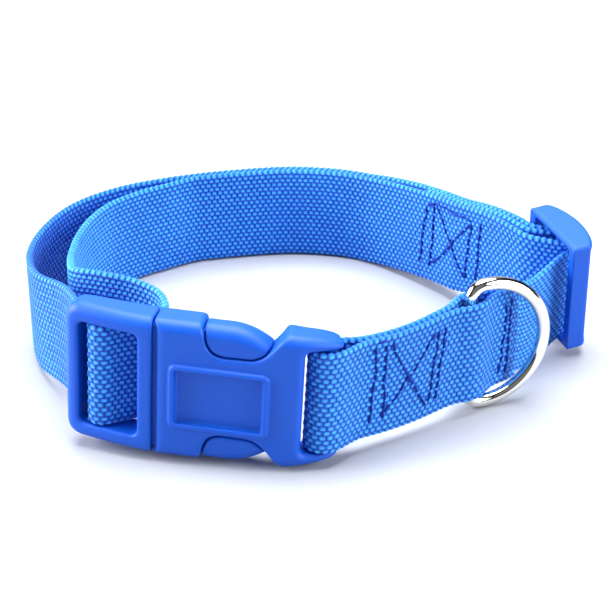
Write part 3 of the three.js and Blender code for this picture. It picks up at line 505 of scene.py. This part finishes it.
def wovenStrap():
    # flat section carried along the strap: aside = base + rise * cos(pi * phase)^2 on each row's middle line,
    # and each row starts half a float after the one below, so that its floats lie like bricks
    rows, pitch, edge = woven["rows"], woven["float"], woven["edge"]
    stations = int(round(strapLength / pitch * woven["samples"])) + 1
    line = np.arange(1, 2 * rows)  # odd lines are the rows' middles, even ones the grooves between them
    bend = np.radians([-45, 0, 45])
    top = strap["width"] - edge + edge * np.cos(bend)

    def section(face, over, under):  # up one face, over the top edge, down the other face, under the bottom edge
        return np.concatenate([face, over, face[::-1], under])

    up = section(line * strap["width"] / (2 * rows), top, strap["width"] - top)
    side = section(np.ones(len(line)), -np.sin(bend), np.sin(bend))
    side[len(line) + len(bend):-len(bend)] = -1
    crest = section((line % 2).astype(float), np.zeros(3), np.zeros(3))
    late = np.where(line % 4 == 3, 0.5, np.where(line % 4 == 1, 0.0, 0.25))
    start = section(late * pitch, np.zeros(3), np.zeros(3))
    selvedge = section(np.zeros(len(line)), np.cos(bend), -np.cos(bend))
    station = np.arange(stations)[:, None]
    atEnds = np.clip(np.minimum(station, stations - 1 - station) / 4, 0, 1)  # the cut ends are straight
    distance = np.clip(station * strapLength / (stations - 1) + start * atEnds, 0, strapLength)
    wave = np.cos(np.pi * station / woven["samples"]) ** 2
    thick = woven["base"] + woven["rise"] * wave * crest
    upAll = up + selvedge * woven["scallop"] * (wave - 0.5)
    points = onStrap(distance, upAll, side * thick)
    count, columns = upAll.shape
    faces = gridFaces(count, columns)
    inRow = strap["width"] / rows * woven["wrapOver"]  # the rolled edges take the colour and relief of a spot just inside the outermost rows, near their grooves, so they come out mid-dark
    flat = np.stack([distance, np.clip(upAll, inRow, strap["width"] - inRow)], -1).reshape(-1, 2) * mm
    ends = [list(range(columns))[::-1], list(range((count - 1) * columns, count * columns))]
    corners = np.concatenate([faces.ravel(), ends[0], ends[1]])
    meshPiece("webbing_woven", inFrame(points.reshape(-1, 3)), faces.tolist() + ends, materials["webbing"],
              "collar", replaces=("webbing",), uv=flat[corners])


wovenStrap()
print("webbing made, mm long:", round(float(strapLength), 1))


sewing = {"stitch": 2.4, "gap": 0.12, "thread": 0.31, "lift": 0.86, "stray": 0.26, "sink": 0.2,
          "along": 9, "around": 8}
# each seam from one place on the strap to another: distance along it and height above its bottom edge
frontSeams = [[(46.1, 23.7), (46.9, 3.8)], [(43.6, 23.3), (43.2, 3.9)], [(42.8, 23.4), (31.2, 3.6)],
              [(29.1, 21.9), (42.9, 5.9)], [(27.9, 21.7), (30.4, 4.6)], [(26.0, 21.9), (28.5, 3.8)],
              [(46.1, 24.0), (43.6, 23.7)], [(5.4, 21.0), (6.7, 3.2)], [(3.2, 22.4), (4.4, 2.6)]]
backSeams = [[(608.2, 21.4), (606.1, 4.2)], [(611.5, 22.6), (609.7, 4.2)], [(612.4, 22.0), (623.7, 4.5)],
             [(625.5, 20.4), (610.8, 5.1)], [(625.7, 21.0), (624.2, 3.9)], [(629.6, 21.4), (627.9, 4.6)],
             [(608.2, 21.6), (611.5, 22.9)], [(611.5, 22.9), (625.6, 21.4)]]


def sewnStitches(name, seams, side, seed):
    # round threads, in strap coordinates: each rises over the face as sin(pi * t)^0.5 and thins at its ends
    length = sewing["stitch"] + sewing["gap"]
    stray = np.random.default_rng(seed)
    starts, ends = [], []
    for a, b in (np.array(seam, float) for seam in seams):
        count = max(1, int(round(np.hypot(*(b - a)) / length)))
        knots = a + (b - a) * np.linspace(0, 1, count + 1)[:, None] + stray.normal(0, sewing["stray"], (count + 1, 2))
        pull = (knots[1:] - knots[:-1]) * sewing["gap"] / length / 2
        starts.append(knots[:-1] + pull)
        ends.append(knots[1:] - pull)
    starts, ends = np.vstack(starts)[:, None, None, :], np.vstack(ends)[:, None, None, :]
    rows, sides = sewing["along"], sewing["around"]
    t = np.linspace(0, 1, rows)[None, :, None]
    turn = (np.arange(sides) / sides * 2 * np.pi)[None, None, :]
    ahead = ends - starts
    ahead = ahead / np.linalg.norm(ahead, axis=-1, keepdims=True)
    bulge = np.sqrt(np.maximum(0, 1 - (2 * t - 1) ** 4))
    radius = sewing["thread"] * np.maximum(bulge, 0.05)
    middle = starts + (ends - starts) * t[..., None]
    distance = middle[..., 0] - ahead[..., 1] * radius * np.cos(turn)
    up = middle[..., 1] + ahead[..., 0] * radius * np.cos(turn)
    rise = sewing["lift"] - sewing["sink"] * (1 - np.sqrt(np.sin(np.pi * t)))
    points = onStrap(distance, up, side * (rise + radius * np.sin(turn)))
    each = rows * sides
    one = gridFaces(rows, sides).tolist() + [list(range(sides))[::-1], list(range(each - sides, each))]
    faces = [[k + each * i for k in face] for i in range(len(points)) for face in one]
    if side > 0:
        faces = [face[::-1] for face in faces]
    meshPiece(name, inFrame(points.reshape(-1, 3)), faces, materials["thread"], "collar")


sewnStitches("stitches_front", frontSeams, -1, 3)
sewnStitches("stitches_back", backSeams, 1, 4)
print("stitches made")


def roundBoth(a, b, radius):  # inside both shapes, with their shared edge rounded to a radius
    corner = np.hypot(np.maximum(radius + a, 0), np.maximum(radius + b, 0))
    return np.minimum(-radius, np.maximum(a, b)) + corner


def roundEither(a, b, radius):  # inside either shape, with a fillet where they meet
    corner = np.hypot(np.maximum(radius - a, 0), np.maximum(radius - b, 0))
    return np.maximum(radius, np.minimum(a, b)) - corner


def rectangle(x, y, left, right, low, high, radius):  # distance to a rectangle with rounded corners
    qx = np.abs(x - (left + right) / 2) - (right - left) / 2 + radius
    qy = np.abs(y - (low + high) / 2) - (high - low) / 2 + radius
    return np.hypot(np.maximum(qx, 0), np.maximum(qy, 0)) + np.minimum(np.maximum(qx, qy), 0) - radius


def outline(polygon, x, y):  # distance to a closed outline, negative inside
    polygon = np.asarray(polygon, float)
    x, y = np.broadcast_arrays(x, y)
    nearest = np.full(x.shape, np.inf)
    sign = np.ones(x.shape)
    for a, b in zip(polygon, np.roll(polygon, 1, axis=0)):
        ex, ey = b - a
        wx, wy = x - a[0], y - a[1]
        t = np.clip((wx * ex + wy * ey) / (ex * ex + ey * ey), 0, 1)
        nearest = np.minimum(nearest, (wx - ex * t) ** 2 + (wy - ey * t) ** 2)
        above, below, left = y >= a[1], y < b[1], ex * wy > ey * wx
        sign = np.where((above & below & left) | (~above & ~below & ~left), -sign, sign)
    return sign * np.sqrt(nearest)


def bezier(*controls, steps=8):  # points of a Bezier curve of any degree, without its first one
    points = np.repeat(np.asarray(controls, float)[:, None, :], steps, axis=1)
    t = (np.arange(1, steps + 1) / steps)[:, None]
    while len(points) > 1:
        points = points[:-1] * (1 - t) + points[1:] * t
    return points[0]


def mouldedSurface(distance, low, high, step):
    # a net of points, one in each grid cell that the surface crosses, at the mean of the crossings on its edges,
    # then pulled on to the surface along its slope
    axes = [np.arange(low[i], high[i] + step, step) for i in range(3)]
    field = distance(axes[0][:, None, None], axes[1][None, :, None], axes[2][None, None, :])
    field = np.broadcast_to(field, tuple(len(a) for a in axes))
    inside = field < 0
    cells = [n - 1 for n in field.shape]
    total = np.zeros((*cells, 3))
    count = np.zeros(cells)
    for axis in range(3):
        near = np.take(field, range(field.shape[axis] - 1), axis=axis)
        far = np.take(field, range(1, field.shape[axis]), axis=axis)
        cross = (near < 0) != (far < 0)
        share = np.where(cross, near / np.where(cross, near - far, 1), 0)
        others = [i for i in range(3) if i != axis]
        for da in (0, 1):
            for db in (0, 1):
                cut = [slice(None)] * 3
                cut[others[0]] = slice(da, da + cells[others[0]])
                cut[others[1]] = slice(db, db + cells[others[1]])
                hit = cross[tuple(cut)]
                offset = np.zeros((*cells, 3))
                offset[..., axis] = share[tuple(cut)]
                offset[..., others[0]] = da
                offset[..., others[1]] = db
                total += offset * hit[..., None]
                count += hit
    used = count > 0
    number = np.full(cells, -1)
    number[used] = np.arange(used.sum())
    cell = np.argwhere(used)
    points = np.stack([axes[i][0] + (cell[:, i] + total[used][:, i] / count[used]) * step for i in range(3)], -1)
    quads = []
    for axis in range(3):
        others = [i for i in range(3) if i != axis]
        near = np.take(inside, range(inside.shape[axis] - 1), axis=axis)
        far = np.take(inside, range(1, inside.shape[axis]), axis=axis)
        where = np.argwhere(near != far)
        keep = np.all([(where[:, i] > 0) & (where[:, i] < field.shape[i] - 1) for i in others], axis=0)
        where = where[keep]
        corners = []
        for da, db in ((1, 1), (0, 1), (0, 0), (1, 0)):
            at = where.copy()
            at[:, others[0]] -= da
            at[:, others[1]] -= db
            corners.append(number[tuple(at.T)])
        corners = np.stack(corners, -1)
        leaves = near[tuple(where.T)] if axis != 1 else ~near[tuple(where.T)]  # the others enter and are turned round
        corners[~leaves] = corners[~leaves][:, ::-1]
        quads.append(corners)
    small = 0.02
    for _ in range(3):  # Newton steps, each no longer than a third of a cell
        value = distance(*points.T)
        slope = np.stack([(distance(*(points + shift).T) - distance(*(points - shift).T)) / (2 * small)
                          for shift in small * np.eye(3)], -1)
        move = -value[:, None] * slope / np.maximum((slope**2).sum(axis=1, keepdims=True), 0.05)
        size = np.linalg.norm(move, axis=1, keepdims=True)
        points = points + move * np.minimum(1, step / 3 / np.maximum(size, 1e-9))
    return points, np.vstack(quads)


notchRim = buckle["height"] / 2
notchFloor = notchRim - buckle["notchDepth"]
beyond = 40  # well past every piece, for the side of a shape that stays open


def notchOutline(inset=0.0):  # plan of a side notch in the socket, along and up
    floor = notchFloor + inset
    start, end = buckle["notchStart"] + inset, buckle["notchEnd"] - inset
    length, depth = end - start, buckle["notchDepth"] - inset
    edge = notchRim + 4  # above the socket
    return np.vstack([
        [(start - length * 0.16, edge), (start - length * 0.03, notchRim - depth * 0.04),
         (start, notchRim - depth * 0.3)],
        bezier((start, notchRim - depth * 0.3), (start + length * 0.02, floor), (start + length * 0.27, floor)),
        bezier((start + length * 0.5, floor), (start + length * 0.74, floor),
               (start + length * 0.82, notchRim - depth * 0.6), (end, notchRim)),
        [(end + length * 0.12, edge)],
    ])


plugForm = {"corner": 4.2, "taperAt": [1, 0.93, 0.66, 0.3, 0], "taper": [0.31, 0.375, 0.43, 0.485, 0.5],
            "seamEdge": 0.3, "windowCorner": 1.6, "windowEdge": 0.7, "barInset": 1.5, "edge": 0.4, "root": 1.5,
            "waist": 7.1, "guide": 24, "guideHalf": 3, "guideEdge": 0.5, "foot": 1.6,
            "crest": 1.3, "fall": 0.75, "padEdge": 2.9, "padRim": 0.6}


def plugShape(along, up, out):  # a tapering frame with a middle bar, two arms with grip pads, a guide between them
    up = np.abs(up)
    half, root, edge = buckle["height"] / 2, -plugForm["root"], plugForm["edge"]
    left, top = -buckle["plug"], half - buckle["inset"]
    thick = buckle["thickness"] * np.interp(along, left * np.array(plugForm["taperAt"]), plugForm["taper"])
    plan = rectangle(along, up, left, beyond, -beyond, half, plugForm["corner"])
    body = roundBoth(plan, out - thick, buckle["frontEdge"])
    body = roundBoth(body, -thick - out, buckle["backEdge"])
    body = roundBoth(body, along + 0 * out, plugForm["seamEdge"])
    window = rectangle(along, up, left + buckle["endBar"], -buckle["innerBar"], -beyond, windowHeight / 2,
                       plugForm["windowCorner"])
    body = roundBoth(body, -window, plugForm["windowEdge"])
    bar = np.hypot(along - middleBarAt, out) - buckle["middleBar"] / 2
    body = roundEither(body, np.maximum(bar, up - half + plugForm["barInset"]), edge)
    leaf = np.abs(out) - buckle["leaf"] / 2
    start, tip, inner = buckle["notchStart"], buckle["reach"], notchFloor - 2
    arm = outline([(root, inner), (root, top), (start, top), (start + plugForm["waist"], notchFloor + 1),
                   (tip - 1, notchFloor + 1), (tip, notchFloor), (tip, inner)], along, up)
    arm = roundBoth(arm, leaf, edge)
    guide = rectangle(along, up, root, plugForm["guide"], -plugForm["guideHalf"], plugForm["guideHalf"],
                      plugForm["guideEdge"])
    guide = roundBoth(guide, leaf, edge)
    foot = roundBoth(rectangle(along, up, root, plugForm["foot"], -beyond, top, edge), leaf, edge)
    share = (along - start) / (buckle["notchEnd"] - start)
    fall = buckle["notchDepth"] * plugForm["fall"] * np.clip((share - 0.3) / 0.65, 0, 1.2) ** 2
    pad = roundBoth(np.abs(out) - buckle["pad"] / 2, up - (top + plugForm["crest"] - fall), plugForm["padEdge"])
    pad = roundBoth(pad, outline(notchOutline(buckle["seam"]), along, up), plugForm["padRim"])
    return np.minimum(np.minimum(body, pad), np.minimum(np.minimum(arm, guide), foot))


socketForm = {"wings": [(0.64, 1), (0.7, 0.9), (0.75, 0.82), (0.8, 0.74), (0.87, 0.6), (0.93, 0.43), (0.975, 0.2),
                        (1, 0)],
              "thinAt": [0.6, 0.75, 0.87, 0.95, 1], "thin": [1, 0.97, 0.93, 0.87, 0.74],
              "endEdge": 1.2, "seamEdge": 0.3, "notchEdge": 0.8, "beadLift": 0.2, "beadFillet": 0.15,
              "recessEdge": 0.3, "shoulder": 0.13, "cavityCorner": 0.4, "cavityEdge": 0.3, "mouthEdge": 0.25,
              "tipRoom": 0.8, "windowCorner": 1.4, "windowEdge": 1.6, "barInto": 0.6, "barFillet": 0.4}


def socketOutline():  # half height against distance along, with the two wings by the webbing loop
    half, end = buckle["height"] / 2, buckle["endHeight"] / 2
    length, low = buckle["socket"], -60
    side = [(share * length, end + (half - end) * height) for share, height in socketForm["wings"]]
    return np.array([(buckle["seam"], low), (buckle["seam"], half), *side, (length, low)])


def socketShape(along, up, out):  # a thinning body less notches, recess, cavity and window, plus bead and end bar
    signed, up = up, np.abs(up)
    half, frontFace = buckle["height"] / 2, buckle["thickness"] / 2
    thick = frontFace * np.interp(along / buckle["socket"], socketForm["thinAt"], socketForm["thin"])
    plan = roundBoth(outline(socketOutline(), along, up), along - buckle["socket"], socketForm["endEdge"])
    body = roundBoth(plan, out - thick, buckle["frontEdge"])
    body = roundBoth(body, -thick - out, buckle["backEdge"])
    body = roundBoth(body, buckle["seam"] - along + 0 * out, socketForm["seamEdge"])
    body = roundBoth(body, -outline(notchOutline(), along, up), socketForm["notchEdge"])
    low = -buckle["labelDrop"] - buckle["labelHeight"] / 2
    high = -buckle["labelDrop"] + buckle["labelHeight"] / 2
    left, right = buckle["labelStart"], buckle["labelStart"] + buckle["labelLength"]
    label, rim = rectangle(along, signed, left, right, low, high, buckle["labelRadius"]), buckle["labelRim"]
    bead = np.hypot(label + rim / 2, out - frontFace - socketForm["beadLift"]) - rim / 2
    body = roundEither(body, bead, socketForm["beadFillet"])
    recess = roundBoth(label + rim, frontFace - buckle["labelRecess"] - out, socketForm["beadFillet"])
    body = roundBoth(body, -recess, socketForm["recessEdge"])
    shoulder = buckle["notchStart"] + socketForm["shoulder"] * (buckle["notchEnd"] - buckle["notchStart"])
    corner, mouth = socketForm["cavityCorner"], -3
    cavity = np.minimum(
        rectangle(along, up, mouth, shoulder, -beyond, half - buckle["cavityWall"], corner),
        rectangle(along, up, mouth, buckle["reach"] + socketForm["tipRoom"], -beyond,
                  notchFloor + 1 + buckle["seam"], corner))
    cavity = roundBoth(cavity, np.abs(out) - (buckle["leaf"] / 2 + buckle["seam"]), socketForm["cavityEdge"])
    body = roundBoth(body, -cavity, socketForm["mouthEdge"])
    window = rectangle(along, up, buckle["windowStart"], 60, -beyond, windowHeight / 2, socketForm["windowCorner"])
    body = roundBoth(body, -window, socketForm["windowEdge"])
    barHalf, barDeep = buckle["barWidth"] / 2, buckle["barThickness"] / 2
    bar = (np.hypot((along - buckle["barAlong"]) / barHalf, (out - buckle["barOut"]) / barDeep) - 1) * barHalf
    return roundEither(body, np.maximum(bar, up - windowHeight / 2 - socketForm["barInto"]), socketForm["barFillet"])


sliderForm = {"sideEdge": 0.9, "holeCorner": 0.8, "holeEdge": 0.5, "crownGap": 2, "crownCorner": 0.5,
              "crownEdge": 0.4, "barInto": 0.7, "barFillet": 0.3}


def sliderShape(along, up, out):  # a bulged profile, flat inside, less two windows and the gap over the middle bar
    up, far = np.abs(up), np.abs(along)
    half, back = slider["length"] / 2, slider["back"]
    side, crown, edge = slider["end"] + back, slider["middle"] + back, slider["edge"]
    profile = np.vstack([
        [(-half, back), (half, back), (half, side - edge)],
        bezier((half, side - edge), (half, side + edge), (half * 0.5, crown), (0, crown), steps=12),
        bezier((0, crown), (-half * 0.5, crown), (-half, side + edge), (-half, side - edge), steps=12),
    ])
    window = windowHeight / 2 + slider["play"]
    body = roundBoth(outline(profile, along, out), up - slider["height"] / 2, sliderForm["sideEdge"])
    inner = half - slider["bar"]
    hole = rectangle(far, up, -beyond, inner, -beyond, window, sliderForm["holeCorner"])
    body = roundBoth(body, -hole, sliderForm["holeEdge"])
    above = rectangle(far, up, inner - sliderForm["crownGap"], beyond, -beyond, window, sliderForm["crownCorner"])
    above = roundBoth(above, side - out, sliderForm["crownCorner"])
    body = roundBoth(body, -above, sliderForm["crownEdge"])
    bar = np.maximum(np.hypot(along, out) - slider["centreBar"] / 2, up - window - sliderForm["barInto"])
    return roundEither(body, bar, sliderForm["barFillet"])


moulded = {"step": 0.4, "margin": 1.0}  # the net's cell, and room round each piece


def placeOnBuckle(points):
    return seated(onBuckle(*points.T), seats[0])


def placeOnSlider(points):
    along, up, out = points.T[..., None]
    return seated(sliderCentre + along * sliderAlong + out * sliderOut + up * np.array([0, 0, 1]), seats[1])


def mouldedPiece(name, node, shape, low, high, place):  # a shape from its distances, in place of a solid
    points, quads = mouldedSurface(shape, low, high, moulded["step"])
    meshPiece(name, inFrame(place(points)), quads, materials["plastic"], "collar", replaces=(node,))


margin = moulded["margin"]
tall, deep = buckle["height"] / 2 + margin, buckle["thickness"] / 2 + margin
longHalf, highHalf = slider["length"] / 2 + margin, slider["height"] / 2 + margin
mouldedPiece("buckle_plug_moulded", "buckle_plug", plugShape, (-buckle["plug"] - margin, -tall, -deep),
             (buckle["notchEnd"] + margin, tall, deep), placeOnBuckle)
mouldedPiece("buckle_socket_moulded", "buckle_socket", socketShape, (-0.5, -tall, -deep),
             (buckle["socket"] + margin, tall, deep), placeOnBuckle)
mouldedPiece("strap_slider_moulded", "strap_slider", sliderShape, (-longHalf, -highHalf, slider["back"] - margin),
             (longHalf, highHalf, slider["middle"] + slider["back"] + margin), placeOnSlider)
print("buckle and slider made")


ringMesh = ringPoints(bowSteps=72, cornerSteps=12, sides=24)
ringFaces = gridFaces(*ringMesh.shape[:2], closedRows=True)[:, ::-1]
meshPiece("d_ring_polished", inFrame(ringMesh.reshape(-1, 3)), ringFaces, materials["chrome"], "ring",
          replaces=("d_ring",))
print("ring made")


studio = {"floor": "#a2a6ae", "floorHalf": 3, "world": "#e2eaff", "worldStrength": 0.03}
lights = {  # place, height of the spot it points at, width in metres, power in watts
    "overhead": ((0.0, 0.18, 0.95), 0, 1.0, 30.0),
    "backdrop": ((0.0, 1.3, 0.42), 0, 1.5, 3.0),
    "left": ((-0.93, 0.02, 0.38), 0.015, 0.8, 25.0),
    "right": ((0.86, -0.32, 0.38), 0.015, 0.8, 13.0),
    "front": ((0.0, -1.5, 0.75), 0, 2.0, 1.5),
}
bpy.context.scene.view_settings.view_transform = "Standard"  # keeps the saturated blue of the photograph
floorMesh = bpy.data.meshes.new("floor")
side = studio["floorHalf"]
floorMesh.from_pydata([(-side, -side, 0), (side, -side, 0), (side, side, 0), (-side, side, 0)], [], [(0, 1, 2, 3)])
floor = bpy.data.objects.new("floor", floorMesh)
bpy.context.scene.collection.objects.link(floor)
floorPaint, floorTree = newMaterial("paleFloor")
floorShader = addNode(floorTree, "ShaderNodeBsdfPrincipled", None, Base_Color=linear(studio["floor"]), Roughness=0.8)
addNode(floorTree, "ShaderNodeOutputMaterial", None, Surface=(floorShader, 0))
floorMesh.materials.append(floorPaint)

world = bpy.data.worlds.new("studio")
bpy.context.scene.world = world
world.use_nodes = True
world.node_tree.nodes.clear()
sky = addNode(world.node_tree, "ShaderNodeBackground", None, Color=linear(studio["world"]),
              Strength=studio["worldStrength"])
addNode(world.node_tree, "ShaderNodeOutputWorld", None, Surface=(sky, 0))


def softLight(name, place, aim, size, power):  # a round lamp, tipped and turned to look at a spot over the middle
    light = bpy.data.lights.new(name, "AREA")
    light.shape, light.size, light.energy = "DISK", size, power
    lamp = bpy.data.objects.new(name, light)
    bpy.context.scene.collection.objects.link(lamp)
    lamp.location = place
    away = np.array(place) - np.array([0, 0, aim])
    lamp.rotation_euler = (np.arctan2(np.hypot(away[0], away[1]), away[2]), 0, np.arctan2(away[0], -away[1]))


for lightName, values in lights.items():
    softLight(lightName, *values)

# focal length in pixels of the image, place in mm
view = {"pitch": 27.0, "focal": 1600, "imageWidth": 612, "sensor": 36, "place": (0.0, -357.0, 193.0)}
cameraData = bpy.data.cameras.new("camera")
cameraData.sensor_width = view["sensor"]
cameraData.lens = view["focal"] / view["imageWidth"] * view["sensor"]
cameraData.clip_start, cameraData.clip_end = 0.01, 20
camera = bpy.data.objects.new("camera", cameraData)
camera.location = inFrame(np.array(view["place"]))
camera.rotation_euler = (np.radians(90 - view["pitch"]), 0, 0)
bpy.context.scene.collection.objects.link(camera)
bpy.context.scene.camera = camera
print("floor, lights and camera made")


print("scene done")
